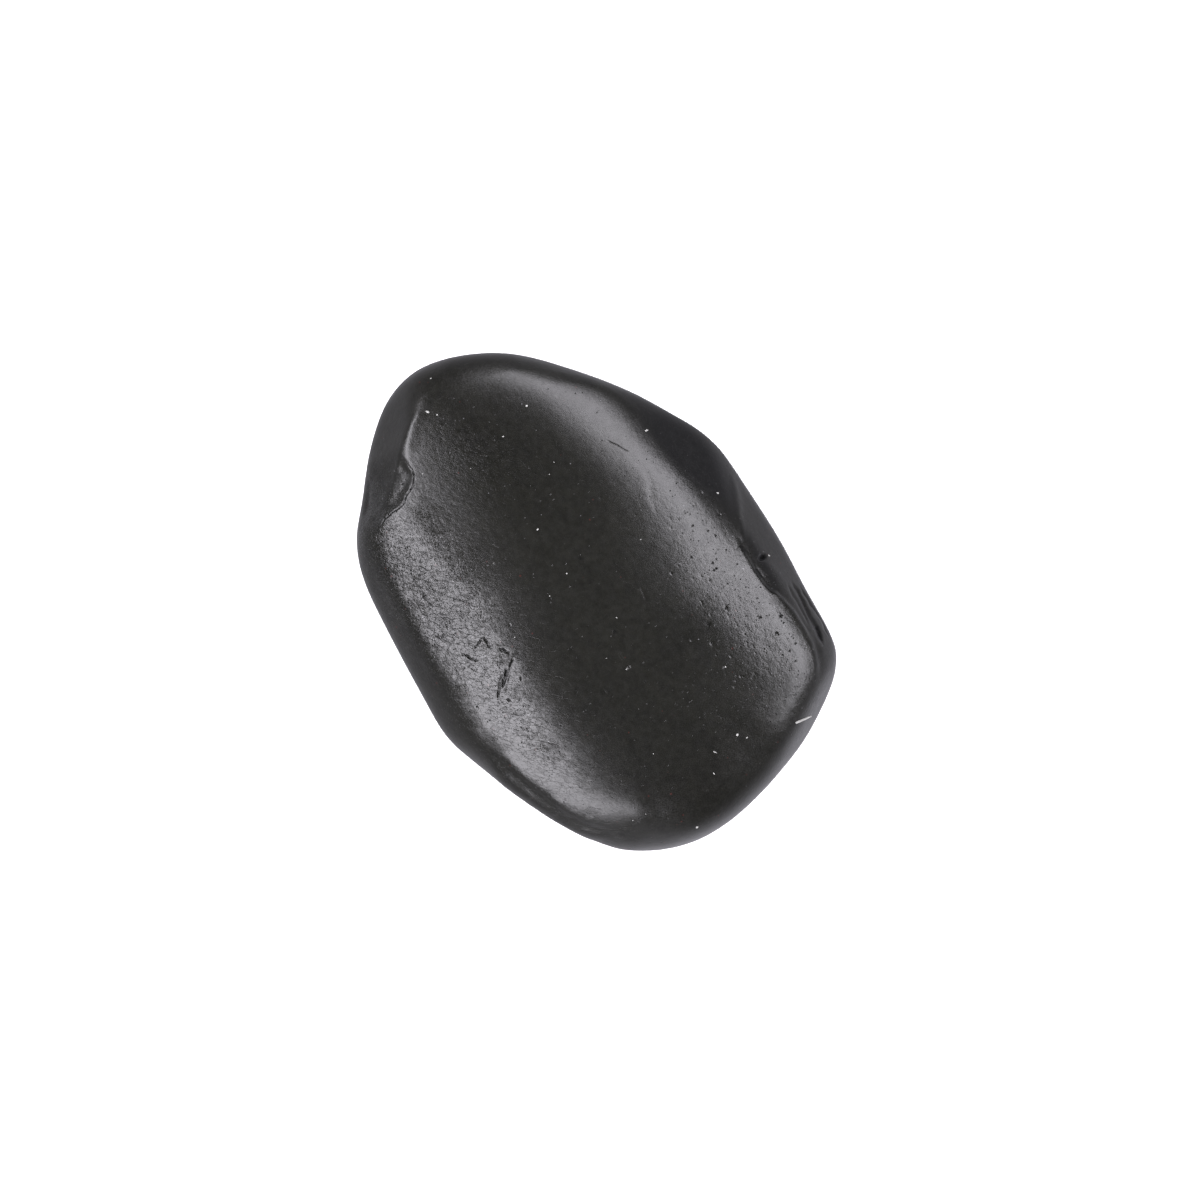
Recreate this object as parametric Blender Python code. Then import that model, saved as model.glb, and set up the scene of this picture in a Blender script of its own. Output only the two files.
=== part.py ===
"""A basalt massage stone: one solid, water-worn pebble, flattened, with a face to rest on.

Metres, +Z up. The origin is on the surface that the stone rests on, under the middle of its outline.
+X runs along the stone's length and +Y across its width.

A river rounds a cobble and then wears flats on it, and the stone is made the same way. An even block of
quads is drawn in to a rounded blank, whose outline, crown and belly are given below. Each flat then takes
a bite of its own depth off the blank, and meets what is left along a ridge of its own softness.
"""

import math
from typing import NamedTuple

import bmesh
import bpy
import numpy as np
from mathutils import Vector

MM = 0.001

# The finished stone's size.
LENGTH = 66.0 * MM
WIDTH = 47.0 * MM
THICKNESS = 21.0 * MM

# The blank: the height of its widest section, how deep its belly would reach below the resting face, and
# how full its crown and belly are. A fullness of 2 is an ellipse, and more is squarer. The crown is fuller
# towards the stone's ends than along its sides.
GIRDLE_HEIGHT = 9.5 * MM
BELLY_BELOW_REST = 1.6 * MM
CROWN_SIDE_FULLNESS = 2.25
CROWN_END_FULLNESS = 3.7
BELLY_FULLNESS = 2.2

# The edge of each cell of the block that the mesh starts from.
CELL = 1.6 * MM

# The outline at the widest section, seen from above and anticlockwise. It is stretched to the finished
# size, so only its proportions matter. A smooth closed curve passes through these points.
OUTLINE = (
    (33.0, -1.4),
    (32.0, 5.2),
    (29.6, 12.4),
    (26.2, 18.5),
    (23.4, 21.4),
    (20.4, 22.4),
    (14.5, 22.8),
    (8.0, 23.5),
    (1.0, 23.5),
    (-5.0, 23.1),
    (-9.6, 21.5),
    (-16.0, 18.1),
    (-22.7, 13.1),
    (-28.0, 8.4),
    (-31.3, 3.2),
    (-32.9, -2.4),
    (-31.8, -7.6),
    (-28.4, -12.2),
    (-23.4, -16.6),
    (-19.6, -19.9),
    (-15.0, -21.8),
    (-8.0, -22.7),
    (0.0, -23.3),
    (6.0, -23.5),
    (11.0, -22.1),
    (18.0, -19.4),
    (25.2, -15.5),
    (30.0, -11.3),
    (32.4, -6.4),
)

# Away from the widest section the outline fades into a plain oval, turned from the stone's length. The
# fade power sets how quickly.
OVAL_TURN = math.radians(-9)
OVAL_FULLNESS = 2.4
FADE_POWER = 4


class Flat(NamedTuple):
    """A flat worn on the blank. Bearing turns from +X towards +Y, and tilt is 0 facing up and 90 facing
    sideways. Bite is how far the flat lies inside the blank's farthest point, and blend is the width of
    the soft ridge around it."""

    bearing: float
    tilt: float
    bite: float
    blend: float


FLATS = (
    Flat(bearing=0, tilt=180, bite=BELLY_BELOW_REST, blend=0.8 * MM),
    Flat(bearing=222, tilt=58, bite=1.3 * MM, blend=0.5 * MM),
    Flat(bearing=99, tilt=48, bite=1.2 * MM, blend=1.2 * MM),
    Flat(bearing=89, tilt=62, bite=1.0 * MM, blend=0.5 * MM),
    Flat(bearing=30, tilt=66, bite=0.5 * MM, blend=0.5 * MM),
    Flat(bearing=264, tilt=54, bite=0.6 * MM, blend=0.8 * MM),
    Flat(bearing=238, tilt=14, bite=0.25 * MM, blend=1.5 * MM),
    Flat(bearing=262, tilt=25, bite=0.35 * MM, blend=1.5 * MM),
    Flat(bearing=84, tilt=24, bite=0.2 * MM, blend=1.5 * MM),
    Flat(bearing=110, tilt=24, bite=0.25 * MM, blend=1.5 * MM),
    Flat(bearing=322, tilt=44, bite=0.4 * MM, blend=1.5 * MM),
)


def closed_curve(points, steps=24):
    """Points along the smooth closed curve (a Catmull-Rom spline) that passes through the given ones."""
    knots = np.array(points, float)
    before, after, beyond = (np.roll(knots, -shift, axis=0) for shift in (-1, 1, 2))
    stretches = []
    for t in np.arange(steps) / steps:
        stretches.append(
            knots
            + t * (after - before) / 2
            + t**2 * (before - 2.5 * knots + 2 * after - beyond / 2)
            + t**3 * (1.5 * (knots - after) + (beyond - before) / 2)
        )
    return np.stack(stretches, axis=1).reshape(-1, 2)


def outline_radius(bearings):
    """How far the outline is from the stone's middle, at each bearing in radians."""
    curve = closed_curve(OUTLINE)
    curve *= (LENGTH, WIDTH) / np.ptp(curve, axis=0)
    turns = np.arctan2(curve[:, 1], curve[:, 0])
    order = np.argsort(turns)
    return np.interp(bearings, turns[order], np.hypot(*curve.T)[order], period=2 * math.pi)


def oval_radius(bearings):
    """How far the plain oval is from the stone's middle, at each bearing in radians."""
    turned = bearings - OVAL_TURN
    lengthways = abs(np.cos(turned)) / (LENGTH / 2)
    crossways = abs(np.sin(turned)) / (WIDTH / 2)
    return (lengthways**OVAL_FULLNESS + crossways**OVAL_FULLNESS) ** (-1 / OVAL_FULLNESS)


def blank_radius(ways):
    """The blank's radius along each unit vector from its centre."""
    bearings = np.arctan2(ways[:, 1], ways[:, 0])
    level = np.hypot(ways[:, 0], ways[:, 1])
    oval = oval_radius(bearings)
    across = oval + (outline_radius(bearings) - oval) * level**FADE_POWER
    upper = ways[:, 2] > 0
    height = np.where(upper, THICKNESS - GIRDLE_HEIGHT, GIRDLE_HEIGHT + BELLY_BELOW_REST)
    endwise = np.cos(bearings - OVAL_TURN) ** 2
    crown = CROWN_SIDE_FULLNESS + (CROWN_END_FULLNESS - CROWN_SIDE_FULLNESS) * endwise
    fullness = np.where(upper, crown, BELLY_FULLNESS)
    return ((level / across) ** fullness + (abs(ways[:, 2]) / height) ** fullness) ** (-1 / fullness)


def soft_minimum(a, b, blend):
    """The smaller of a and b, rounded off where they are within blend of each other."""
    near = np.clip(1 - abs(a - b) / blend, 0, 1)
    return np.minimum(a, b) - near**2 * blend / 4


def wear(radius, ways, flat):
    """The radius along each way once the flat is worn on it."""
    bearing, tilt = math.radians(flat.bearing), math.radians(flat.tilt)
    facing = np.array(
        (math.sin(tilt) * math.cos(bearing), math.sin(tilt) * math.sin(bearing), math.cos(tilt))
    )
    towards = ways @ facing
    farthest = (blank_radius(ways) * towards).max()
    reach = np.full(len(ways), np.inf)
    np.divide(farthest - flat.bite, towards, out=reach, where=towards > 0)
    return soft_minimum(radius, reach, flat.blend)


def block_of_cells():
    """A block of the stone's overall size, cut into even cells by loops along each of its axes."""
    bm = bmesh.new()
    bmesh.ops.create_cube(bm, size=1)
    size = Vector((LENGTH, WIDTH, THICKNESS))
    bmesh.ops.scale(bm, vec=size, verts=bm.verts)
    for axis in range(3):
        along = [e for e in bm.edges if abs((e.verts[0].co - e.verts[1].co)[axis]) > size[axis] / 2]
        cuts = round(size[axis] / CELL) - 1
        bmesh.ops.subdivide_edges(bm, edges=along, cuts=cuts, use_grid_fill=True)
    return bm


def fit_to_size(points):
    """The points scaled so that they fill the finished size, standing on Z 0 and centred in X and Y."""
    low, high = points.min(axis=0), points.max(axis=0)
    middle = np.array((*(low + high)[:2] / 2, low[2]))
    return (points - middle) * ((LENGTH, WIDTH, THICKNESS) / (high - low))


def make_stone():
    bm = block_of_cells()
    ways = np.array([v.co.normalized() for v in bm.verts])
    radius = blank_radius(ways)
    for flat in FLATS:
        radius = wear(radius, ways, flat)
    for vertex, point in zip(bm.verts, fit_to_size(ways * radius[:, None])):
        vertex.co = point
    mesh = bpy.data.meshes.new("stone")
    bm.to_mesh(mesh)
    bm.free()
    mesh.shade_smooth()
    stone = bpy.data.objects.new("stone", mesh)
    bpy.context.scene.collection.objects.link(stone)
    return stone


def basalt():
    """Black basalt, rubbed smooth and lightly oiled."""
    material = bpy.data.materials.new("basalt")
    material.use_nodes = True
    shader = material.node_tree.nodes["Principled BSDF"]
    shader.inputs["Base Color"].default_value = (0.022, 0.022, 0.020, 1)
    shader.inputs["Roughness"].default_value = 0.42
    shader.inputs["Metallic"].default_value = 0
    return material


for old in list(bpy.data.objects):
    bpy.data.objects.remove(old)
make_stone().data.materials.append(basalt())
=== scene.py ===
# %% [markdown]
# # A basalt massage stone
#
# This lesson dresses the plain solid of a massage stone until it looks like the real thing: a black
# pebble that a river has rounded and people have rubbed smooth. The solid gives the size and the
# large shape. Everything that the eye enjoys is added here: worn ridges, a hairline crack, a gouge, pits,
# pale crystals, and a satin skin with a fine grain.

# %% Load the solid
import math
import random
from typing import NamedTuple

import bmesh
import bpy
import numpy as np
from mathutils import Matrix, Vector, noise
from mathutils.bvhtree import BVHTree


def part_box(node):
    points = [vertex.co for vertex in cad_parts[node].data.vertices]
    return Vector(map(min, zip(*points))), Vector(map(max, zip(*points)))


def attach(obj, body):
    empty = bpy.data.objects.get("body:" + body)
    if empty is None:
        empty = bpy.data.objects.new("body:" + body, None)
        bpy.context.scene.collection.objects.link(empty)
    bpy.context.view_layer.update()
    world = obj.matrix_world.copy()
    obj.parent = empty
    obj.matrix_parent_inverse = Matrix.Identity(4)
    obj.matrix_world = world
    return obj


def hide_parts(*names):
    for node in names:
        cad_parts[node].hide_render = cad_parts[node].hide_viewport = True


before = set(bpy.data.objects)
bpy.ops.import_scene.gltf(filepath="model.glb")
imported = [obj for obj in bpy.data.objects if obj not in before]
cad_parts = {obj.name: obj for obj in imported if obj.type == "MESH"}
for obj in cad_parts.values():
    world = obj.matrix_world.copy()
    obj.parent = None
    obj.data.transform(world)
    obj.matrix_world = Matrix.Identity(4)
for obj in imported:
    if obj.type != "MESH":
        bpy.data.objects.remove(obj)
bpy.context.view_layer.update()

MM = 0.001
scene = bpy.context.scene
low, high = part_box("stone")
size = high - low
middle = (low + high) / 2
print("stone size in mm:", [round(length / MM, 1) for length in size])

# %% [markdown]
# ## The camera
#
# The stone is seen from straight above, as in a catalogue. A camera can look down with no tilt at all,
# so it only needs a height and a turn. A long lens is used, because a short one would show the
# stone's top larger than its rim. Its distance follows from the lens and the width that has to fit in.

# %% Camera
VIEW_WIDTH = 2.196 * size.x
LENS = 100
SENSOR_WIDTH = 36
NEAREST_SEEN = 10 * MM
VIEW_TURN = math.radians(57.5)
VIEW_CENTRE = Vector((2.14 * MM, 1.06 * MM, 9.5 * MM))

camera_data = bpy.data.cameras.new("camera")
camera_data.lens = LENS
camera_data.sensor_width = SENSOR_WIDTH
camera_data.clip_start = NEAREST_SEEN
camera = bpy.data.objects.new("camera", camera_data)
scene.collection.objects.link(camera)
camera_height = VIEW_WIDTH * LENS / SENSOR_WIDTH
camera.location = VIEW_CENTRE + Vector((0, 0, camera_height))
camera.rotation_euler = (0, 0, VIEW_TURN)
scene.camera = camera
print("camera height in mm:", round(camera.location.z / MM))

# %% [markdown]
# ## Floor and light
#
# Black stone is hard to light: almost all that one sees of it is reflection. Two long soft boxes stand
# along the stone's sides, so each gives one long, soft gleam where the crown turns down to the rim. The
# top stays dark because it mirrors the dark ceiling between the boxes. The floor is a light table: it
# shines a little by itself, which takes the shadow away. The floor is kept out of the stone's mirror
# image, and the low part of the sky gives the rim its grey instead.

# %% Floor
FLOOR_REACH = 2
FLOOR_GAP = 0.1 * MM
PAPER_WHITE = (0.9, 0.9, 0.9, 1)
PAPER_GLOW = 0.3

bm = bmesh.new()
bmesh.ops.create_grid(bm, x_segments=1, y_segments=1, size=FLOOR_REACH)
bmesh.ops.translate(bm, vec=(0, 0, -FLOOR_GAP), verts=bm.verts)
floor_mesh = bpy.data.meshes.new("floor")
bm.to_mesh(floor_mesh)
bm.free()
floor = bpy.data.objects.new("floor", floor_mesh)
scene.collection.objects.link(floor)
floor.visible_glossy = False
paper = bpy.data.materials.new("paper")
paper.use_nodes = True
paper_shader = paper.node_tree.nodes["Principled BSDF"]
paper_shader.inputs["Base Color"].default_value = PAPER_WHITE
paper_shader.inputs["Roughness"].default_value = 1
paper_shader.inputs["Specular IOR Level"].default_value = 0
paper_shader.inputs["Emission Color"].default_value = (1, 1, 1, 1)
paper_shader.inputs["Emission Strength"].default_value = PAPER_GLOW
floor_mesh.materials.append(paper)

# %% Soft boxes
BOX_DISTANCE = 0.6
BOX_LENGTH = 1.5
BOX_SHIFT = Vector((-0.2, 0, 0))
BOX_WIDTH = 0.28
BOX_FROM_ZENITH = math.radians(48)
BRIGHTNESS = {"soft_box_right": 8.4, "soft_box_left": 11.0}
BOX_TINT = (1, 0.978, 1.045)


def soft_box(name, side):
    """A long soft box beside the stone, on the side of +Y (1) or -Y (-1), facing it."""
    light = bpy.data.lights.new(name, "AREA")
    light.shape = "RECTANGLE"
    light.size = BOX_LENGTH
    light.size_y = BOX_WIDTH
    light.energy = BRIGHTNESS[name] * math.pi * BOX_LENGTH * BOX_WIDTH
    light.color = BOX_TINT
    box = bpy.data.objects.new(name, light)
    scene.collection.objects.link(box)
    towards = Vector((0, side * math.sin(BOX_FROM_ZENITH), math.cos(BOX_FROM_ZENITH)))
    box.location = middle + towards * BOX_DISTANCE + BOX_SHIFT
    box.rotation_euler = (-towards).to_track_quat("-Z", "Y").to_euler()
    return box


for name, side in (("soft_box_right", 1), ("soft_box_left", -1)):
    print(name, "at", [round(x, 2) for x in soft_box(name, side).location])

# %% [markdown]
# The sky is a gradient, brightest low down and dark overhead. It's brighter towards the stone's right
# end, as from a window there, which gives that end a paler rim. The camera itself sees a plain pale
# backdrop.

# %% Sky
LOW_GLOW = 0.52
ZENITH_GLOW = 0.02
BRIGHT_END = 3.2
GLOW_FADES = (-0.75, 0.5)
BACKDROP = 0.9
SKY_TINT = (0.985, 0.97, 1.06, 1)

world = bpy.data.worlds.new("studio")
scene.world = world
world.use_nodes = True
sky = world.node_tree
background = sky.nodes["Background"]
background.inputs["Color"].default_value = SKY_TINT
direction = sky.nodes.new("ShaderNodeTexCoord")
split = sky.nodes.new("ShaderNodeSeparateXYZ")
fade = sky.nodes.new("ShaderNodeMapRange")
fade.interpolation_type = "SMOOTHSTEP"
fade.inputs["From Min"].default_value = GLOW_FADES[0]
fade.inputs["From Max"].default_value = GLOW_FADES[1]
fade.inputs["To Min"].default_value = LOW_GLOW
fade.inputs["To Max"].default_value = ZENITH_GLOW
window = sky.nodes.new("ShaderNodeMapRange")
window.interpolation_type = "SMOOTHSTEP"
window.inputs["To Min"].default_value = 1
window.inputs["To Max"].default_value = BRIGHT_END
glow = sky.nodes.new("ShaderNodeMath")
glow.operation = "MULTIPLY"
seen = sky.nodes.new("ShaderNodeLightPath")
choose = sky.nodes.new("ShaderNodeMix")
choose.inputs["B"].default_value = BACKDROP
sky.links.new(direction.outputs["Generated"], split.inputs[0])
sky.links.new(split.outputs["Z"], fade.inputs["Value"])
sky.links.new(seen.outputs["Is Camera Ray"], choose.inputs["Factor"])
sky.links.new(split.outputs["X"], window.inputs["Value"])
sky.links.new(fade.outputs["Result"], glow.inputs[0])
sky.links.new(window.outputs["Result"], glow.inputs[1])
sky.links.new(glow.outputs[0], choose.inputs["A"])
sky.links.new(choose.outputs["Result"], background.inputs["Strength"])
scene.view_settings.view_transform = "Standard"

# %% [markdown]
# ## The stone's body
#
# The solid is a cage of flat cells, each about a millimetre and a half wide. One could sculpt a new
# pebble by hand, but then its size would drift from the solid's. So a copy of the solid's own
# mesh is used: its loose triangles are merged, paired into quads, and rounded by Subdivision Surface.
# That draws the shape in by a hair.

# %% Merge, pair and round
MERGE_DISTANCE = 0.001 * MM
ROUNDING_LEVELS = 2


def new_object(name, bm):
    """An object with the bmesh's shape, shaded smooth. The bmesh is freed."""
    mesh = bpy.data.meshes.new(name)
    bm.to_mesh(mesh)
    bm.free()
    mesh.shade_smooth()
    made = bpy.data.objects.new(name, mesh)
    scene.collection.objects.link(made)
    return made


def rounded(cage, levels):
    """The mesh that the cage becomes under Subdivision Surface. The cage is removed."""
    modifier = cage.modifiers.new("rounding", "SUBSURF")
    modifier.levels = levels
    modifier.render_levels = levels
    shown = cage.evaluated_get(bpy.context.evaluated_depsgraph_get())
    mesh = bpy.data.meshes.new_from_object(shown)
    bpy.data.objects.remove(cage)
    return mesh


bm = bmesh.new()
bm.from_mesh(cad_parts["stone"].data)
bmesh.ops.remove_doubles(bm, verts=bm.verts, dist=MERGE_DISTANCE)
bmesh.ops.join_triangles(
    bm, faces=bm.faces, angle_face_threshold=math.pi, angle_shape_threshold=math.pi
)
print("cells in the cage:", len(bm.faces), "of them quads:", sum(len(f.verts) == 4 for f in bm.faces))
body = rounded(new_object("cage", bm), ROUNDING_LEVELS)
print("cells after rounding:", len(body.polygons))

# %% [markdown]
# ## Marks in plan
#
# Each mark is drawn in plan, as a short list of points in millimetres along its line, the way
# one would pencil it on a tracing laid over the stone. One could use plain x and y for this, but a lens
# shows the raised middle a little larger. So the tracing is laid the way the camera sees the stone. A
# helper then says how far any spot is from a line, on which side of it, and how far along.

# %% Distance from a line in plan


def as_traced(spots):
    """Where spots in space come to lie on the tracing, as the camera sees them."""
    centre = np.array(VIEW_CENTRE)[:2]
    nearer = camera_height / (camera_height - (spots[:, 2] - VIEW_CENTRE.z))
    return centre + (spots[:, :2] - centre) * nearer[:, None]


def smooth_line(points, steps=6):
    """Points along a smooth open curve through the given ones (a Catmull-Rom spline), in metres."""
    knots = np.array(points, float) * MM
    knots = np.vstack((2 * knots[0] - knots[1], knots, 2 * knots[-1] - knots[-2]))
    curve = []
    for a, b, c, d in zip(knots, knots[1:], knots[2:], knots[3:]):
        for t in np.arange(steps) / steps:
            turn = t * (c - a) + t**2 * (2 * a - 5 * b + 4 * c - d) + t**3 * (3 * b - a - 3 * c + d)
            curve.append(b + turn / 2)
    curve.append(knots[-2])
    return np.array(curve)


def from_line(line, spots):
    """Each spot's distance from the line, its side (1 is left), and its share of the way along."""
    nearest = np.full(len(spots), np.inf)
    side = np.ones(len(spots))
    share = np.zeros(len(spots))
    total = np.hypot(*np.diff(line, axis=0).T).sum()
    gone = 0.0
    for start, end in zip(line, line[1:]):
        step = end - start
        length = np.hypot(*step)
        t = np.clip((spots - start) @ step / length**2, 0, 1)
        off = spots - start - t[:, None] * step
        distance = np.hypot(*off.T)
        closer = distance < nearest
        nearest[closer] = distance[closer]
        side[closer] = np.where(step[0] * off[:, 1] - step[1] * off[:, 0] > 0, 1, -1)[closer]
        share[closer] = ((gone + t * length) / total)[closer]
        gone += length
    return nearest, side, share


# %% [markdown]
# ## Kinds of mark
#
# Three simple profiles make nearly every mark that a stone wears. A groove is a valley along a line. A
# ledge is a drop on one side of a line, as where a flake has come off. A pit is a small round
# bowl. A fourth, the swell, is a broad, faint rise or hollow. It can't be seen as such, but it bends the
# gleam above it, which is what makes a pebble look natural.

# %% The kinds of mark, in millimetres


class Groove(NamedTuple):
    """A valley along a line. A negative depth makes a welt."""

    line: tuple
    width: float
    depth: float


class Ledge(NamedTuple):
    """A drop to the left of a line, as wide as edge, that fades out within reach."""

    line: tuple
    drop: float
    edge: float
    reach: float


class Swell(NamedTuple):
    """A broad rise, or a hollow if its height is negative, longer one way than the other."""

    centre: tuple
    length: float
    width: float
    turn: float
    height: float


class Pit(NamedTuple):
    """A small round bowl."""

    centre: tuple
    radius: float
    depth: float


# %% [markdown]
# ## The marks on this stone
#
# The left end carries a worn ridge that turns into a hairline crack, with a thin flake still in place
# outside it. Along the left side lies a gouge with two nicks beside it, and a shallow crease runs down to
# the right. The right side has a sharp ridge above a broken wall, with a dimple and drag lines.

# %% Ridge, crack and flake
END_RIDGE = (
    (-31.0, -1.2),
    (-30.5, -2.6),
    (-29.7, -4.1),
    (-28.7, -5.4),
    (-27.6, -7.0),
    (-26.3, -8.3),
    (-25.3, -9.2),
    (-24.4, -9.6),
)
end_ridge = Groove(END_RIDGE, width=0.9, depth=-0.1)
end_ridge_crest = Groove(END_RIDGE, width=0.4, depth=-0.03)
CRACK = (
    (-24.6, -9.8),
    (-23.2, -9.7),
    (-22.4, -10.0),
    (-21.6, -10.7),
    (-21.1, -11.8),
    (-20.4, -12.6),
    (-20.3, -13.5),
    (-20.3, -14.6),
    (-20.0, -16.0),
    (-19.4, -17.2),
)
crack = Groove(CRACK, width=0.09, depth=0.12)
FLAKE_EDGE = (
    (-18.6, -18.2),
    (-19.4, -16.6),
    (-20.0, -14.8),
    (-20.1, -13.2),
    (-20.9, -11.6),
    (-22.0, -10.1),
    (-23.3, -9.4),
    (-25.0, -9.3),
    (-26.6, -9.2),
)
flake = Ledge(FLAKE_EDGE, drop=0.4, edge=1.5, reach=6.0)
flake_slope = Ledge(FLAKE_EDGE, drop=0.5, edge=3.4, reach=6.0)
leaf = Swell((-23.0, -11.2), length=1.1, width=0.7, turn=-50, height=0.08)

# %% Gouge, nicks and forks
gouge = Groove(((2.3, -11.2), (2.9, -12.1), (3.5, -12.9), (4.2, -13.8)), width=0.11, depth=0.13)
gouge_core = Groove(((2.9, -12.6), (3.6, -13.4), (4.2, -14.0), (4.9, -14.7)), width=0.17, depth=0.13)
gouge_branch = Groove(((3.2, -13.6), (3.9, -14.3), (4.4, -15.0)), width=0.1, depth=0.09)
gouge_tail = Groove(((4.3, -14.7), (5.0, -15.3), (5.6, -15.9)), width=0.09, depth=0.09)
gouge_lip = Ledge(((2.2, -11.4), (3.0, -12.4), (4.1, -13.5), (5.2, -14.9)), drop=0.06, edge=0.25, reach=1.0)
nicks = (
    Groove(((0.5, -12.4), (1.1, -12.0), (1.8, -11.5)), width=0.12, depth=0.18),
    Groove(((6.1, -14.9), (6.7, -14.8)), width=0.11, depth=0.12),
    Groove(((-1.1, -14.7), (-1.5, -13.8), (-1.5, -13.3), (-0.4, -13.2)), width=0.1, depth=0.12),
    Groove(((-0.5, -13.4), (-0.2, -13.1)), width=0.1, depth=0.12),
    Groove(((-1.3, -16.4), (-0.3, -15.9), (0.6, -15.2)), width=0.09, depth=0.1),
    Groove(((4.7, -11.9), (5.2, -12.2)), width=0.09, depth=0.07),
)

# %% [markdown]
# The crease is older than the gouge: it's shallow and worn smooth, and its outer lip stands up a little.

# %% Crease along the left side
CREASE = (
    (9.0, -20.6),
    (13.3, -19.4),
    (17.5, -18.0),
    (21.2, -16.6),
    (24.1, -14.9),
    (25.8, -13.2),
    (26.8, -11.2),
)
crease = Groove(CREASE, width=0.5, depth=0.16)
LIP = ((12, -21.0), (14.5, -20.3), (18, -18.9), (21.8, -17.3), (24.8, -15.4), (26.8, -13.2))
crease_lip = Groove(LIP, width=0.6, depth=-0.16)

# %% Ridge, dimple and drag lines on the right wall
SIDE_RIDGE = (
    (4, 19.0),
    (6.6, 18.7),
    (9.1, 18.4),
    (11.4, 18.4),
    (13.8, 19.2),
    (17.7, 19.5),
    (21.7, 19.0),
    (24.4, 17.2),
)
side_ridge = Groove(SIDE_RIDGE, width=0.5, depth=-0.06)
side_wall = Ledge(SIDE_RIDGE, drop=0.28, edge=0.7, reach=2.0)
FACET_EDGE = ((-2.5, 22.6), (0.6, 21.7), (3.1, 20.6), (6.0, 19.4))
facet_edge = Groove(FACET_EDGE, width=0.4, depth=-0.1)
dimple = Pit((8.3, 20.4), radius=0.6, depth=0.35)
wall_chips = (
    Groove(((5.4, 19.1), (6.2, 19.0), (7.2, 18.9)), width=0.3, depth=0.04),
    Groove(((8.9, 18.9), (9.8, 18.8), (10.6, 18.9)), width=0.36, depth=0.05),
    Groove(((11.0, 18.8), (12.0, 18.8), (12.9, 19.2)), width=0.3, depth=0.04),
    Groove(((18.6, 21.4), (19.7, 21.2), (21.0, 20.6)), width=0.28, depth=0.05),
)
drag_lines = (
    Groove(((12.2, 21.6), (14.4, 21.6), (16.9, 21.3), (19.4, 21.1), (21.5, 20.7)), width=0.2, depth=0.18),
    Groove(((12.4, 21.0), (14.4, 20.9), (16.9, 20.7), (18.4, 20.5)), width=0.14, depth=0.08),
    Groove(((13.4, 22.1), (16.9, 22.2), (18.8, 22.2), (21.2, 21.8)), width=0.16, depth=0.14),
)

# %% Scars on the right side of the crown
scar = Groove(((-13.9, 12.1), (-12.3, 12.9), (-10.9, 13.7)), width=0.07, depth=0.05)
shoulder = Ledge(
    ((-2.2, 12.5), (-4.2, 12.8), (-5.5, 13.2), (-7.5, 14.2), (-8.9, 13.9), (-11.0, 13.5)),
    drop=-0.03,
    edge=0.6,
    reach=1.6,
)
shoulder_mark = Groove(((-8.9, 14.0), (-7.5, 14.2), (-6.0, 13.5), (-4.6, 12.9)), width=0.2, depth=0.035)
hairs = (
    Groove(((11.4, -4.4), (12.3, -4.3)), width=0.1, depth=0.04),
    Groove(((8.5, -0.3), (9.2, -0.5), (9.9, -0.4)), width=0.1, depth=0.04),
    Groove(((3.3, 6.1), (5.2, 5.7)), width=0.1, depth=0.03),
)
tool_ring = Pit((10.9, -0.4), radius=0.3, depth=0.1)

# %% [markdown]
# A shoulder is where the crown turns down to the rim. The gleam follows it, so small swells along the
# shoulders are what bring the gleam to its place.

# %% Broad swells
RIGHT_SHOULDER = (
    (5, 17.5),
    (11, 18.4),
    (16, 18.9),
    (20.8, 18.6),
    (24.9, 16.6),
    (27.9, 13.4),
    (30.1, 9.0),
    (31.2, 4.5),
    (31.8, 0),
    (31.4, -4),
    (29.8, -8),
)
LEFT_SHOULDER = (
    (10, -20.6),
    (15, -19.8),
    (19, -18.7),
    (22.5, -17.6),
    (25.8, -15.8),
    (28.7, -13.2),
    (30.6, -9),
)
swells = (
    Groove(RIGHT_SHOULDER, width=2.8, depth=-0.34),
    Groove(((5, 16.2), (11, 16.6), (17, 16.8), (22, 15.6), (26, 12), (29, 6)), width=5, depth=-0.26),
    Groove(LEFT_SHOULDER, width=2.4, depth=-0.42),
    Groove(((17, -15.6), (22, -14.4), (26, -11.5), (29, -7)), width=4, depth=-0.15),
    Groove(((-21, -13.2), (-16, -13.8), (-12, -13.6), (-6, -12.8)), width=3, depth=-0.2),
    Groove(((-17, -18.4), (-12, -19.2), (-7, -19.6), (-3, -19.9), (1, -19.3)), width=1.3, depth=-0.12),
    Groove(((-32.4, -0.5), (-31.8, 2.5), (-30.3, 5.6), (-27.3, 9.2)), width=1.6, depth=-0.13),
    Swell((1, 19.6), length=5, width=3.2, turn=0, height=-0.24),
    Swell((-8, 21.6), length=7, width=2.8, turn=0, height=0.5),
    Swell((-5, 13.5), length=7, width=5, turn=0, height=-0.12),
    Swell((13, -15.5), length=8, width=5, turn=0, height=-0.3),
)

# %% [markdown]
# ## Pits
#
# Basalt is lava, and gas bubbles left small holes in it. They are strewn by chance, but not evenly: they
# crowd along the right side of the crown. A seeded random generator places them, so that the stone comes
# out the same each time.

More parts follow.
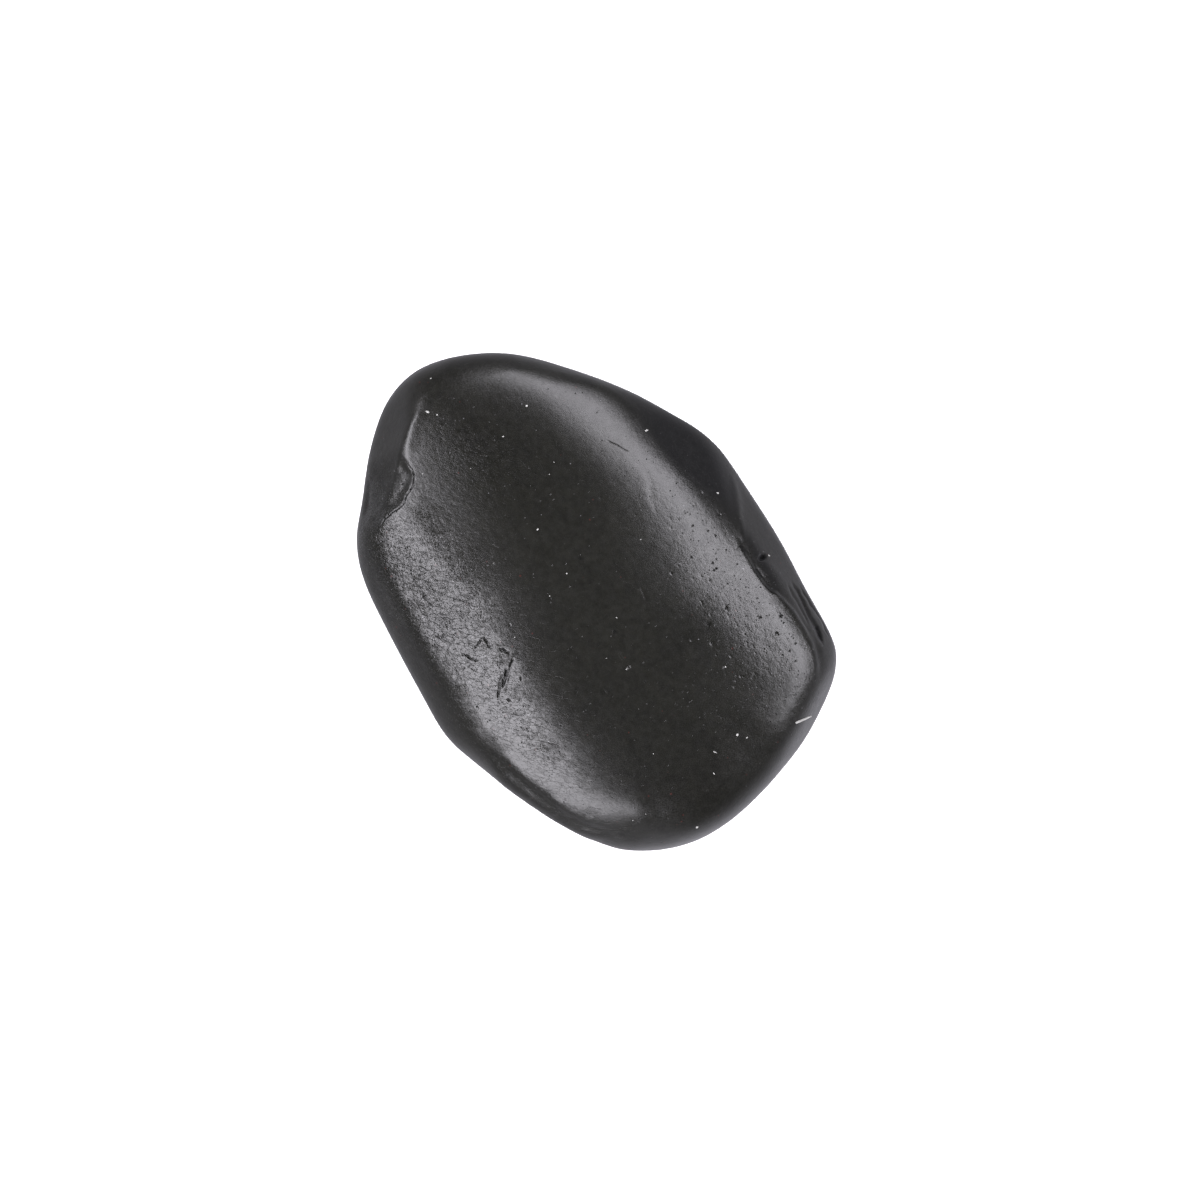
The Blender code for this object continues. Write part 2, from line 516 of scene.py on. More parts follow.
# %% Strew the pits
PIT_SEED = 41
PIT_RADIUS = (0.06, 0.1)
LARGER_BY = 0.08
FEW_LARGE = 6
PIT_DEPTH = (0.6, 1.1)
PIT_FIELDS = (
    # centre in plan, spread lengthways and crossways, how many, in millimetres
    ((9.0, 14.5), 6.5, 2.2, 80),
    ((21.0, 13.0), 3.5, 2.5, 24),
    ((0.0, -14.5), 8.0, 2.4, 20),
    ((6.0, 2.0), 13.0, 6.5, 20),
)
dice = random.Random(PIT_SEED)
pits = [
    Pit((15.5, 18.3), 0.25, 0.16),
    Pit((14.3, 16.0), 0.18, 0.1),
    Pit((16.9, 16.7), 0.2, 0.12),
    Pit((5.7, 14.9), 0.16, 0.1),
    Pit((0.6, 15.4), 0.15, 0.1),
    Pit((2.1, 16.6), 0.14, 0.1),
    Pit((13.8, 9.6), 0.2, 0.12),
    Pit((12.2, 7.8), 0.17, 0.1),
    Pit((16.4, 10.7), 0.18, 0.1),
    Pit((17.0, 9.4), 0.15, 0.1),
    Pit((-22.7, -11.8), 0.17, 0.1),
]
for (x, y), length, width, number in PIT_FIELDS:
    for _ in range(number):
        centre = (dice.gauss(x, length), dice.gauss(y, width))
        radius = dice.uniform(*PIT_RADIUS) + LARGER_BY * dice.random() ** FEW_LARGE
        pits.append(Pit(centre, radius, radius * dice.uniform(*PIT_DEPTH)))
print("pits:", len(pits))

# %% [markdown]
# ## Finer cells where the marks are
#
# A hairline crack is narrower than a cell of the body. Making all cells that small would cost
# millions of them, so only those near a mark are cut, and the cut edges are bulged to keep the
# body's roundness.

# %% Refine
FINE_MARKS = [crack, gouge, gouge_core, gouge_branch, gouge_tail, *nicks, *drag_lines, scar, *hairs]
FINE_MARGIN = 0.3
FINE_CUTS = 3
GIRDLE = 9.0 * MM


def face_middles(bm):
    """The middle of each face."""
    return np.array([face.calc_center_median() for face in bm.faces])


def close_to(marks, spots):
    """Which spots on the tracing are near enough to a mark to need fine cells."""
    near = np.zeros(len(spots), bool)
    for mark in marks:
        if isinstance(mark, Pit):
            off = np.hypot(*(spots - np.array(mark.centre) * MM).T)
            near |= off < (mark.radius + FINE_MARGIN / 2) * MM
        else:
            width = mark.width if isinstance(mark, Groove) else mark.edge
            distance, _, _ = from_line(smooth_line(mark.line), spots)
            near |= distance < (width + FINE_MARGIN) * MM
    return near


bm = bmesh.new()
bm.from_mesh(body)
centres = face_middles(bm)
small_marks = [*FINE_MARKS, dimple, *wall_chips, tool_ring, *pits]
wanted = (centres[:, 2] > GIRDLE) & close_to(small_marks, as_traced(centres))
bm.faces.ensure_lookup_table()
edges = {edge for index in np.flatnonzero(wanted) for edge in bm.faces[index].edges}
bmesh.ops.subdivide_edges(
    bm, edges=list(edges), cuts=FINE_CUTS, smooth=1, smooth_falloff="LINEAR", use_grid_fill=True
)
print("cells after refining:", len(bm.faces), "triangles:", sum(len(f.verts) - 2 for f in bm.faces))
stone = new_object("basalt_stone", bm)

# %% [markdown]
# ## Carving
#
# Each tool returns how far it moves every point along the direction that it faces. The moves are
# added up and made in one go. A little noise bends the lines, because nothing on a stone is ruled.
# Blender seeds this noise from the clock, so it gets a seed of its own here.

# %% The carving tools
WANDER = 0.12 * MM
WANDER_SCALE = 0.9 / MM
SHIVER = 0.03 * MM
SHIVER_SCALE = 3.5 / MM
RAGGED_BELOW = 0.13
TAPER = 0.2
NOISE_SEED = 1
noise.seed_set(NOISE_SEED)


def per_point(values):
    """A list with three numbers for each point, as an array with three columns."""
    return np.array(values, float).reshape(-1, 3)


def noise_field(scale, offset=(0, 0, 0)):
    """Three smooth random numbers, about -1 to 1, for each point of the stone."""
    return per_point([noise.noise_vector(Vector(p) * scale + Vector(offset)) for p in points])


flat = np.empty(len(stone.data.vertices) * 3, np.float32)
stone.data.vertices.foreach_get("co", flat)
points = per_point(flat)
stone.data.vertex_normals.foreach_get("vector", flat)
faced = per_point(flat)
upper = np.clip((faced[:, 2] - 0.05) / 0.3, 0, 1)
shiver = noise_field(SHIVER_SCALE)
traced = as_traced(points)
plan = traced + noise_field(WANDER_SCALE)[:, :2] * WANDER + shiver[:, :2] * SHIVER
ragged = np.clip(0.9 + 0.8 * shiver[:, 2], 0.5, 1.3)


def ease(share):
    """0 to 1, slow at both ends."""
    share = np.clip(share, 0, 1)
    return share * share * (3 - 2 * share)


def groove(mark):
    """A valley with a round bottom. It narrows to both ends, and a fine one is ragged."""
    distance, _, share = from_line(smooth_line(mark.line), plan)
    taper = ease(np.minimum(share, 1 - share) / TAPER)
    width = mark.width * MM * (0.5 + 0.5 * taper)
    depth = mark.depth * MM * taper * (ragged if mark.width < RAGGED_BELOW else 1)
    return -depth * np.exp(-((distance / width) ** 2))


def ledge(mark):
    """A drop that starts at the line, and comes back to nothing within reach."""
    distance, side, share = from_line(smooth_line(mark.line), plan)
    taper = ease(np.minimum(share, 1 - share) / TAPER)
    over = ease(distance * side / (mark.edge * MM))
    return -mark.drop * MM * taper * over * np.exp(-((distance / (mark.reach * MM)) ** 2))


def pit(mark):
    """A round bowl."""
    distance = np.hypot(*(plan - np.array(mark.centre) * MM).T)
    return -mark.depth * MM * np.clip(1 - (distance / (mark.radius * MM)) ** 2, 0, 1) ** 1.5


def swell(mark):
    """A broad rise or hollow."""
    turn = math.radians(mark.turn)
    off = (traced - np.array(mark.centre) * MM) / MM
    along = off @ (math.cos(turn), math.sin(turn))
    across = off @ (-math.sin(turn), math.cos(turn))
    return mark.height * MM * np.exp(-((along / mark.length) ** 2) - (across / mark.width) ** 2)


TOOLS = {Groove: groove, Ledge: ledge, Pit: pit, Swell: swell}

# %% Carve
carved = [end_ridge, end_ridge_crest, crack, flake, flake_slope, leaf]
carved += [gouge, gouge_core, gouge_branch, gouge_tail, gouge_lip, *nicks, crease, crease_lip]
carved += [side_ridge, side_wall, facet_edge, dimple, *wall_chips, *drag_lines]
carved += [scar, shoulder, shoulder_mark, *hairs, tool_ring, *swells, *pits]
relief = sum(TOOLS[type(mark)](mark) for mark in carved) * upper
points = points + faced * relief[:, None]
points = np.clip(points, np.array(low), np.array(high))
stone.data.vertices.foreach_set("co", points.astype(np.float32).ravel())
stone.data.update()
print("deepest and highest relief in mm:", [round(move / MM, 2) for move in (relief.min(), relief.max())])

# %% [markdown]
# ## Painted masks
#
# Some of the finish belongs to places: crackle along the left side, pores along the right, a rough patch
# at the left end, and painted shade in the hollows. Each is stored on the mesh as a number from 0 to 1 per
# point, which the material can read wherever the stone is turned.

# %% Paint


def paint(name, values):
    """Store one number from 0 to 1 for each point of the stone."""
    layer = stone.data.attributes.new(name, "FLOAT", "POINT")
    layer.data.foreach_set("value", np.clip(values, 0, 1).astype(np.float32))
    print("mask", name, "covers", f"{np.mean(values > 0.5):.0%}")


def patch(centre, length, width, turn):
    """A soft oval on the upper side: 1 in the middle, fading to 0."""
    return swell(Swell(centre, length, width, turn, 1.0)) / MM * upper


def depth_of(marks):
    """How deep the marks go at each point, in millimetres."""
    return -sum(TOOLS[type(mark)](mark) for mark in marks) / MM


# Painted shade: each mark's colour darkens with its depth, to near-black at these depths.
DARK_AT = {"deep": 0.14, "shallow": 0.4, "smeared": 0.08}
deep = depth_of([crack, gouge, gouge_core, gouge_branch, gouge_tail, *nicks, dimple, scar, *pits])
shallow = depth_of([*drag_lines, shoulder_mark])
smeared = depth_of(wall_chips)
hollow = deep / DARK_AT["deep"] + shallow / DARK_AT["shallow"] + smeared / DARK_AT["smeared"]
paint("hollow", hollow)
paint("crackle", patch((-8, -15.5), 14, 4.5, 0) + 0.5 * patch((12, -15), 10, 3, 8))
porous = patch((11, 15), 12, 5, 4) + 0.5 * patch((22, 8), 7, 7, 0)
paint("pores", porous + 0.4 * patch((-8, -15), 12, 4, 0))
coarse = patch((-10, -15.5), 14, 5, 0) + 0.55 * patch((10, 15.5), 16, 5, 0)
paint("coarse", coarse + 0.3 * patch((-20, -2), 9, 5, 25))
paint("streaks", patch((-20, -0.5), 8, 3.6, 25) + 0.5 * patch((-16, -8), 9, 4, 15))
paint("haze", patch((-8, 1), 13, 9, 10))
paint("polish", patch((10, -15.5), 9, 5, 0) + 0.6 * patch((17, 17), 6, 3, 0))

# %% [markdown]
# The flat on the right side ends in a fine edge. The flat, and a thin strip further along the wall, are
# painted near-black, so that mask stops at the edge, within a few tenths of a millimetre.

# %% Paint the flat
EDGE_FADE = 0.3 * MM
edge_distance, edge_side, _ = from_line(smooth_line(FACET_EDGE), plan)
beyond_edge = ease(0.5 + edge_distance * edge_side / EDGE_FADE)
darkened_flat = 1.6 * patch((-7, 19.6), 8.5, 2.3, 11) * (1 - beyond_edge)
paint("darkened_flat", darkened_flat + 0.8 * patch((9, 20), 5, 0.8, -4))

# %% [markdown]
# ## Shader helpers
#
# Materials here are built from nodes in code. One could wire them by hand in the editor, but then nobody
# could read why. A few small helpers keep the code short: they add a node with its sockets fed, do
# sums on numbers, vectors and colours, and open or use a node group with named inputs and outputs.

# %% Helpers


def feed(tree, socket, value):
    """Link the socket if the value is itself a socket, or else set it."""
    if isinstance(value, bpy.types.NodeSocket):
        tree.links.new(value, socket)
    else:
        socket.default_value = value


def add(tree, kind, **sockets):
    """A new node with its sockets fed. In a socket's name, _ stands for a space."""
    node = tree.nodes.new("ShaderNode" + kind)
    for name, value in sockets.items():
        socket = node.inputs[name.replace("_", " ")]
        feed(tree, socket, value)
    return node


def maths(tree, operation, *values):
    """One sum, product or the like of numbers."""
    node = tree.nodes.new("ShaderNodeMath")
    node.operation = operation
    for socket, value in zip(node.inputs, values):
        feed(tree, socket, value)
    return node.outputs[0]


def vector_maths(tree, operation, *values):
    """The same for vectors. The result is a vector, or a number for a dot product."""
    node = tree.nodes.new("ShaderNodeVectorMath")
    node.operation = operation
    for socket, value in zip(node.inputs, values):
        feed(tree, socket, value)
    return next(socket for socket in node.outputs if socket.enabled)


def spread(tree, value, start, end, to_start=0.0, to_end=1.0):
    """The value with start to end stretched to to_start to to_end, and held there outside."""
    node = add(tree, "MapRange", Value=value, From_Min=start, From_Max=end)
    node.inputs["To Min"].default_value = to_start
    node.inputs["To Max"].default_value = to_end
    return node.outputs["Result"]


def mix_colours(tree, factor, a, b):
    """Colour a where the factor is 0, turning to colour b where it is 1."""
    node = tree.nodes.new("ShaderNodeMix")
    node.data_type = "RGBA"
    for name, value in (("Factor", factor), ("A", a), ("B", b)):
        sockets = [s for s in node.inputs if s.name == name and s.enabled]
        feed(tree, sockets[0], value)
    return next(s for s in node.outputs if s.enabled)


def group(name, inputs, outputs):
    """A new node group, with its input and output nodes."""
    tree = bpy.data.node_groups.new(name, "ShaderNodeTree")
    for kind, sockets in (("INPUT", inputs), ("OUTPUT", outputs)):
        for label, form in sockets:
            tree.interface.new_socket(label, in_out=kind, socket_type="NodeSocket" + form)
    return tree, tree.nodes.new("NodeGroupInput"), tree.nodes.new("NodeGroupOutput")


def use(tree, grouped, **sockets):
    """A node that runs a node group, with its sockets fed."""
    node = tree.nodes.new("ShaderNodeGroup")
    node.node_tree = grouped
    for name, value in sockets.items():
        socket = node.inputs[name.replace("_", " ")]
        feed(tree, socket, value)
    return node


def in_millimetres(tree):
    """Object coordinates, counted in millimetres."""
    place = add(tree, "TexCoord").outputs["Object"]
    return add(tree, "Mapping", Vector=place, Scale=(1 / MM,) * 3).outputs["Vector"]


def noise_at(tree, place, scale, detail=2.0, roughness=0.5):
    """Smooth noise from 0 to 1, with as many lumps per millimetre as the scale says."""
    node = add(tree, "TexNoise", Vector=place, Scale=scale, Detail=detail, Roughness=roughness)
    return node.outputs["Fac"]


# %% [markdown]
# ## Grain
#
# Rubbed basalt isn't polished: it keeps a fine tooth, finer than a grain of salt, over soft unevenness a
# few millimetres wide. Both are noise, at three sizes. The group gives a height and a shade, so the
# stone and the crystals in it share one skin.

# %% The grain group
grain, given, result = group(
    "grain",
    [("Place", "Vector"), ("Coarseness", "Float")],
    [("Height", "Float"), ("Shade", "Float")],
)
place = given.outputs["Place"]
coarseness = given.outputs["Coarseness"]
wide = noise_at(grain, place, 0.35, 3)
middling = noise_at(grain, place, 1.3, 3, 0.6)
tooth = noise_at(grain, place, 4.5, 3, 0.7)
middling_height = maths(grain, "MULTIPLY", middling, maths(grain, "MULTIPLY_ADD", coarseness, 2.2, 0.5))
tooth_height = maths(grain, "MULTIPLY", tooth, maths(grain, "MULTIPLY_ADD", coarseness, 1.3, 0.18))
height = maths(grain, "ADD", maths(grain, "ADD", wide, middling_height), tooth_height)
grain.links.new(height, result.inputs["Height"])
grain.links.new(spread(grain, middling, 0.3, 0.7), result.inputs["Shade"])

# %% [markdown]
# ## Pores and crackle
#
# Pores are the bubbles too small to carve. A Voronoi texture scatters cells, and only a cell whose
# own random colour is high enough keeps its dot. Crackle is the net of fine joints that weathering
# opens: the borders between larger Voronoi cells, bent by noise and broken where a second noise is low.
# Each plate between the joints also leans its own way, so that it takes more or less of the gleam.

# %% The pores group
pores, given, result = group(
    "pores",
    [("Place", "Vector"), ("Density", "Float"), ("Per millimetre", "Float")],
    [("Mask", "Float")],
)
scatter = add(
    pores, "TexVoronoi", Vector=given.outputs["Place"], Scale=given.outputs["Per millimetre"], Randomness=1.0
)
lot = add(pores, "SeparateColor", Color=scatter.outputs["Color"])
chosen = maths(pores, "LESS_THAN", lot.outputs["Red"], given.outputs["Density"])
radius = spread(pores, lot.outputs["Green"], 0, 1, 0.12, 0.3)
dot = maths(pores, "SUBTRACT", 1, maths(pores, "DIVIDE", scatter.outputs["Distance"], radius))
dot = maths(pores, "MULTIPLY", spread(pores, dot, 0, 0.6), chosen)
pores.links.new(dot, result.inputs["Mask"])

# %% The crackle group
crackle, given, result = group(
    "crackle",
    [("Place", "Vector"), ("Per millimetre", "Float"), ("Width", "Float")],
    [("Mask", "Float"), ("Lean", "Float")],
)
bend = add(crackle, "TexNoise", Vector=given.outputs["Place"], Scale=1.2, Detail=2.0)
bent = vector_maths(crackle, "MULTIPLY_ADD", bend.outputs["Color"], (0.9, 0.9, 0.9), given.outputs["Place"])
net = add(crackle, "TexVoronoi", Vector=bent, Scale=given.outputs["Per millimetre"])
net.feature = "DISTANCE_TO_EDGE"
across = maths(crackle, "DIVIDE", net.outputs["Distance"], given.outputs["Width"])
joint = maths(crackle, "SUBTRACT", 1, across)
joint = spread(crackle, joint, 0, 0.8)
gaps = spread(crackle, noise_at(crackle, given.outputs["Place"], 1.3, 2), 0.44, 0.56)
crackle.links.new(maths(crackle, "MULTIPLY", joint, gaps), result.inputs["Mask"])
plates = add(crackle, "TexVoronoi", Vector=bent, Scale=given.outputs["Per millimetre"])
from_middle = vector_maths(crackle, "SUBTRACT", bent, plates.outputs["Position"])
lean = vector_maths(crackle, "SUBTRACT", plates.outputs["Color"], (0.5, 0.5, 0.5))
crackle.links.new(vector_maths(crackle, "DOT_PRODUCT", from_middle, lean), result.inputs["Lean"])

# %% [markdown]
# ## Basalt
#
# The rock is almost black and a little warm, with paler clouds, a few grey mineral grains and a rare
# fleck of rust. Most of its look is in how it reflects, so the masks mainly steer roughness and
# relief: hollows get painted shade, the crackled side is uneven, and the rest has an oily satin.

# %% Basalt: what lies where
BLACK = (0.0013, 0.0013, 0.0007, 1)
CLOUD = (0.0064, 0.0063, 0.0045, 1)
GRAIN_GREY = (0.016, 0.016, 0.0145, 1)
PAINTED_GLINT = (0.11, 0.11, 0.115, 1)
RUST = (0.03, 0.008, 0.006, 1)
SHADE_AND_JOINT_BLACK = (0.001, 0.001, 0.001, 1)
SKIN_DEPTH = 0.035 * MM


def mask(tree, name):
    """The number that was painted on the stone under this name."""
    node = tree.nodes.new("ShaderNodeAttribute")
    node.attribute_name = name
    return node.outputs["Fac"]


def laid(tree, place, turn, length, width):
    """The place, drawn out so that spots become dashes of this length and width, in millimetres."""
    node = add(tree, "Mapping", Vector=place, Scale=(length, width, width))
    node.inputs["Rotation"].default_value = (0, 0, math.radians(turn))
    node.vector_type = "TEXTURE"
    return node.outputs["Vector"]


basalt = bpy.data.materials.new("basalt_satin")
basalt.use_nodes = True
tree = basalt.node_tree
shader = tree.nodes["Principled BSDF"]
place = in_millimetres(tree)
skin = use(tree, grain, Place=place, Coarseness=mask(tree, "coarse"))
density = spread(tree, mask(tree, "pores"), 0, 1, 0.05, 0.5)
pore = use(tree, pores, Place=place, Density=density, Per_millimetre=2.8)
dashes = laid(tree, place, 57, 0.85, 0.4)
large = use(tree, crackle, Place=dashes, Per_millimetre=0.45, Width=0.08)
small = use(tree, crackle, Place=dashes, Per_millimetre=1.15, Width=0.05)
joints = maths(tree, "MAXIMUM", large.outputs["Mask"], small.outputs["Mask"])
cracks = maths(tree, "MULTIPLY", joints, maths(tree, "MULTIPLY", mask(tree, "crackle"), 0.8))
lean = maths(tree, "MULTIPLY_ADD", large.outputs["Lean"], 1.2, small.outputs["Lean"])
lean = maths(tree, "MULTIPLY", lean, spread(tree, mask(tree, "crackle"), 0, 1, 0.03, 2.4))
dark = maths(tree, "MAXIMUM", mask(tree, "hollow"), maths(tree, "MAXIMUM", pore.outputs["Mask"], cracks))
streak = spread(tree, noise_at(tree, laid(tree, place, 30, 0.8, 0.42), 1, 3, 0.7), 0.35, 0.65)
streaks = maths(tree, "MULTIPLY", streak, mask(tree, "streaks"))

# %% [markdown]
# The colour comes from three noises, at about 8, 1 and 0.3 millimetres, which move it between black and
# cloud. Grains and rust are dots of the pores group, and so are the painted glints, pale dots that stand
# in for highlights. Hollows and pores end in near-black as painted shade, the joints in the rock's own
# black, and the flat on the right side is painted near-black too.

# %% Basalt: colour
clouds = spread(tree, noise_at(tree, place, 0.12, 3), 0.35, 0.65)
blotch = spread(tree, noise_at(tree, place, 0.9, 3, 0.7), 0.3, 0.7)
mottle = spread(tree, noise_at(tree, place, 3.2, 2, 0.7), 0.3, 0.7)
tone = maths(tree, "MULTIPLY", clouds, 0.25)
tone = maths(tree, "MULTIPLY_ADD", blotch, 0.6, tone)
tone = maths(tree, "MULTIPLY_ADD", mottle, 0.35, tone)
tone = maths(tree, "MULTIPLY_ADD", streaks, 0.6, tone)
tone = maths(tree, "MULTIPLY_ADD", mask(tree, "streaks"), -0.5, tone)
tone = maths(tree, "MULTIPLY_ADD", mask(tree, "haze"), 0.2, tone)
flecks = use(tree, pores, Place=place, Density=0.035, Per_millimetre=2.3)
rusty = use(tree, pores, Place=place, Density=0.03, Per_millimetre=1.7)
colour = mix_colours(tree, tone, BLACK, CLOUD)
colour = mix_colours(tree, flecks.outputs["Mask"], colour, GRAIN_GREY)
colour = mix_colours(tree, rusty.outputs["Mask"], colour, RUST)
# Painted glints: pale dots in the colour of the coarse places stand in for highlights.
density = maths(tree, "MULTIPLY", mask(tree, "coarse"), 0.28)
painted_glints = use(tree, pores, Place=place, Density=density, Per_millimetre=3.1)
colour = mix_colours(tree, painted_glints.outputs["Mask"], colour, PAINTED_GLINT)
# Painted shade: hollows and pores turn near-black. The joints take the same black as their own colour, and
# the flat on the right side is painted near-black too.
colour = mix_colours(tree, maths(tree, "MAXIMUM", dark, mask(tree, "darkened_flat")), colour, SHADE_AND_JOINT_BLACK)
tree.links.new(colour, shader.inputs["Base Color"])

# %% [markdown]
# A black hollow would still show a grey gloss, because every smooth skin mirrors the lamps. Where the
# mask is dark, the shader is turned towards a metal, whose mirror takes the black of its colour. That
# kills the gloss. In the hollows and pores this is painted shade, as their black colour is. Coarse places
# get small smoother facets, which sparkle.

# %% Basalt: gloss
tree.links.new(maths(tree, "MULTIPLY", dark, 0.7), shader.inputs["Metallic"])
roughness = spread(tree, skin.outputs["Shade"], 0, 1, 0.31, 0.36)
roughness = maths(tree, "SUBTRACT", roughness, maths(tree, "MULTIPLY", mask(tree, "polish"), 0.05))
facets = maths(tree, "MULTIPLY_ADD", mottle, 0.14, maths(tree, "MULTIPLY", blotch, 0.12))
sparkle = maths(tree, "MULTIPLY", mask(tree, "coarse"), facets)
roughness = maths(tree, "SUBTRACT", roughness, sparkle)
roughness = maths(tree, "ADD", roughness, maths(tree, "MULTIPLY", streaks, 0.02))
tree.links.new(roughness, shader.inputs["Roughness"])

# %% [markdown]
# The finest relief is too small to carve: grain, pores, joints, leaning plates and streaks. It's added
# up as one height, a few hundredths of a millimetre deep, and bends the light that the skin returns.

# %% Basalt: relief
height = maths(tree, "SUBTRACT", skin.outputs["Height"], maths(tree, "MULTIPLY", pore.outputs["Mask"], 0.9))
height = maths(tree, "SUBTRACT", height, maths(tree, "MULTIPLY", cracks, 0.6))
height = maths(tree, "ADD", height, lean)
height = maths(tree, "ADD", height, maths(tree, "MULTIPLY", streaks, 0.6))
bump = add(tree, "Bump", Height=height, Strength=1.0, Distance=SKIN_DEPTH)
tree.links.new(bump.outputs["Normal"], shader.inputs["Normal"])
stone.data.materials.clear()
stone.data.materials.append(basalt)

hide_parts("stone")
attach(stone, "root")

# %% [markdown]
# ## Pale crystals
#
# Small crystals of feldspar grew in the lava before it set, and rubbing has laid some of them bare. One
# could dot them on with colour, but a crystal catches the light on its faces and stands a little proud.
# So each is a small faceted grain with a flat cleaved top, mostly sunk in the stone. A ray shot from
# the camera through the tracing finds the skin at its place.

# %% Crystals


class Crystal(NamedTuple):
    """A grain in the skin, in millimetres, and its turn in degrees."""

    spot: tuple
    length: float
    width: float
    turn: float = 0


crystals = [
    Crystal((-28.2, -4.3), 0.64, 0.3, 100),
    Crystal((-27.3, -3.5), 0.26, 0.2),
    Crystal((-22.4, 6.2), 0.36, 0.3, 20),
    Crystal((-20.8, 1.8), 0.24, 0.2),
    Crystal((-9.1, -0.7), 0.32, 0.26),
    Crystal((-1.1, 20.0), 0.45, 0.3, 60),
    Crystal((-2.7, -0.6), 0.24, 0.2),
    Crystal((-31.4, -1.8), 0.24, 0.2),
    Crystal((24.8, 6.3), 0.38, 0.32),
    Crystal((25.7, 7.1), 0.24, 0.2),
    Crystal((17.1, 9.5), 0.22, 0.2),
    Crystal((-12.1, 16.8), 0.54, 0.28, 75),
    Crystal((25.1, 2.9), 0.6, 0.14, 100),
    Crystal((27.2, 1.4), 0.4, 0.14, 80),
    Crystal((31.6, -3.8), 0.36, 0.32),
    Crystal((10.9, -0.7), 0.3, 0.16, 120),
    # This grain beside the dimple is a painted highlight: a pale grain put where the dimple's rim shows a
    # glint.
    Crystal((8.6, 21.15), 0.45, 0.3, 60),
]
CRYSTAL_SEED = 7
SMALL_CRYSTALS = 14
CRYSTAL_HEIGHT = 0.55
CLEAVED_AT = 0.6
UNEVEN = 0.16
dice = random.Random(CRYSTAL_SEED)
for _ in range(SMALL_CRYSTALS):
    spot = (dice.uniform(-26, 28), dice.uniform(-11, 13))
    length = dice.uniform(0.12, 0.22)
    width = dice.uniform(0.08, 0.14)
    crystals.append(Crystal(spot, length, width, dice.uniform(0, 180)))

# %% [markdown]
# The grains are laid on the carved skin, turned to face as it does, and cut off level with the crown.

# %% Lay the crystals
skin_tree = BVHTree.FromPolygons([tuple(p) for p in points], [tuple(f.vertices) for f in stone.data.polygons])


def skin_at(x, y):
    """The point of the skin under a spot on the tracing, and the way it faces there."""
    aim = Vector((x * MM, y * MM, VIEW_CENTRE.z)) - camera.location
    spot, facing, _, _ = skin_tree.ray_cast(camera.location, aim.normalized())
    return spot, facing


bm = bmesh.new()
for crystal in crystals:
    made = bmesh.ops.create_icosphere(bm, subdivisions=1, radius=1)["verts"]
    for vert in made:
        vert.co *= 1 + UNEVEN * dice.uniform(-1, 1)
        vert.co.z = min(vert.co.z, CLEAVED_AT)
    spot, facing = skin_at(*crystal.spot)
    half = Vector((crystal.length, crystal.width, crystal.width * CRYSTAL_HEIGHT)) / 2 * MM
    shape = facing.to_track_quat("Z", "Y").to_matrix().to_4x4()
    shape = Matrix.Translation(spot) @ shape @ Matrix.Rotation(math.radians(crystal.turn), 4, "Z")
    bmesh.ops.transform(bm, matrix=shape @ Matrix.Diagonal((*half, 1)), verts=made)
    for vert in made:
        vert.co.z = min(vert.co.z, high.z)
print("crystals:", len(crystals), "triangles:", sum(len(f.verts) - 2 for f in bm.faces))
pale_crystals = new_object("pale_crystals", bm)

# %% [markdown]
# ## The lath
#
# One crystal is different: a thin white lath at the right end, two millimetres long. Such laths are
# the cut edges of flat feldspar plates. It's a bevelled bar, cut into short lengths so that it can follow
# the skin down the shoulder.

# %% Lath
LATH_START = Vector((27.35, 13.0))
LATH_END = Vector((27.65, 15.0))
LATH_WIDTH = 0.31
LATH_HEIGHT = 0.16
LATH_CUTS = 9
LATH_PROUD = 0.03
LATH_BEVEL = 0.18
NARROWER_ENDS = 0.35
SHARP = 1


def run_along(edge):
    """How far an edge runs along the lath, as a share of its length."""
    return abs((edge.verts[0].co - edge.verts[1].co).x)


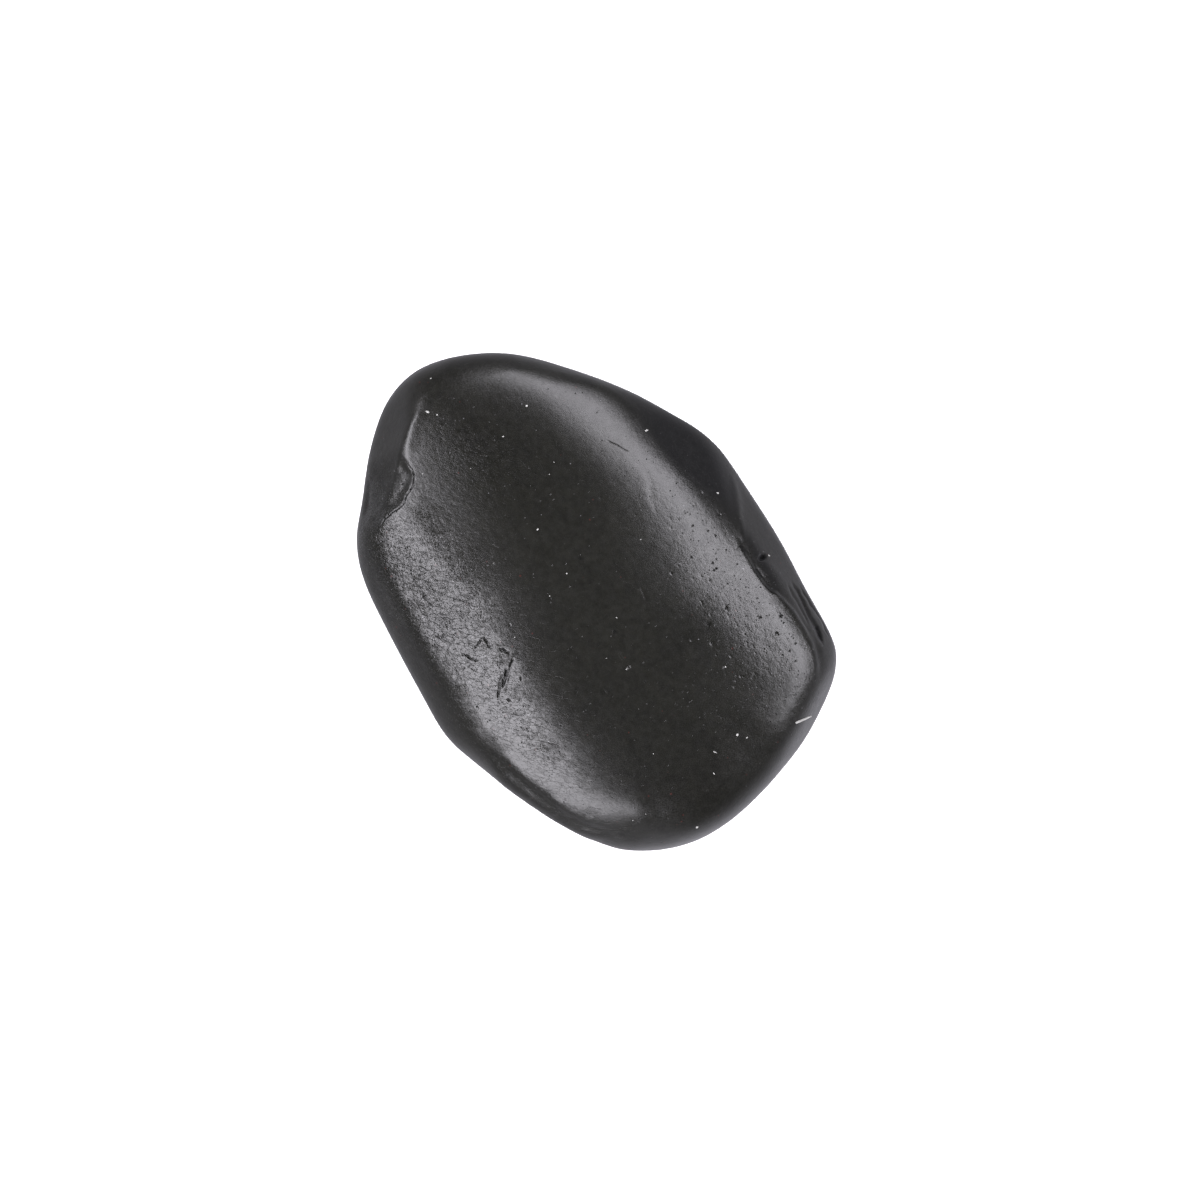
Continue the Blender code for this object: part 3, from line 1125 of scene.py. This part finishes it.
bm = bmesh.new()
bmesh.ops.create_cube(bm, size=1)
long_edges = [edge for edge in bm.edges if run_along(edge) > 0.5]
bmesh.ops.subdivide_edges(bm, edges=long_edges, cuts=LATH_CUTS, use_grid_fill=True)
half_piece = 0.5 / (LATH_CUTS + 1)
rims = [
    edge for edge in bm.edges if run_along(edge) > half_piece and edge.calc_face_angle(0) > SHARP
]
bmesh.ops.bevel(bm, geom=rims, offset=LATH_BEVEL, segments=2, profile=0.5, material=-1, affect="EDGES")
along = (LATH_END - LATH_START).normalized()
for vert in bm.verts:
    share = vert.co.x + 0.5
    narrow = 1 - NARROWER_ENDS * abs(2 * share - 1) ** 4
    spot, facing = skin_at(*LATH_START.lerp(LATH_END, share))
    sideways = facing.cross(Vector((*along, 0))).normalized()
    rise = (vert.co.z * LATH_HEIGHT + LATH_PROUD) * MM
    vert.co = spot + sideways * vert.co.y * LATH_WIDTH * narrow * MM + facing * rise
bmesh.ops.recalc_face_normals(bm, faces=bm.faces)
print("lath triangles:", sum(len(f.verts) - 2 for f in bm.faces))
feldspar_lath = new_object("feldspar_lath", bm)

# %% [markdown]
# ## Feldspar
#
# Feldspar is milky, with pearly bands where it cleaves. One flat white would look like paint, so a wave
# texture lays the bands in it, and it shares the grain with the stone around it.

# %% The feldspar material
MILK = (0.34, 0.34, 0.325, 1)
PEARL = (0.2, 0.195, 0.18, 1)

feldspar = bpy.data.materials.new("feldspar_milky")
feldspar.use_nodes = True
tree = feldspar.node_tree
shader = tree.nodes["Principled BSDF"]
place = in_millimetres(tree)
skin = use(tree, grain, Place=place, Coarseness=0.3)
bands = add(tree, "TexWave", Vector=place, Scale=2.2, Distortion=3.0, Detail=2.0)
cleaved = spread(tree, bands.outputs["Fac"], 0.35, 0.75)
cloudy = maths(tree, "MULTIPLY", cleaved, skin.outputs["Shade"])
tree.links.new(mix_colours(tree, cloudy, MILK, PEARL), shader.inputs["Base Color"])
tree.links.new(spread(tree, skin.outputs["Shade"], 0, 1, 0.25, 0.45), shader.inputs["Roughness"])
height = maths(tree, "ADD", skin.outputs["Height"], maths(tree, "MULTIPLY", cleaved, 0.4))
bump = add(tree, "Bump", Height=height, Strength=1.0, Distance=0.5 * SKIN_DEPTH)
tree.links.new(bump.outputs["Normal"], shader.inputs["Normal"])
for piece in (pale_crystals, feldspar_lath):
    piece.data.materials.append(feldspar)
    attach(piece, "root")
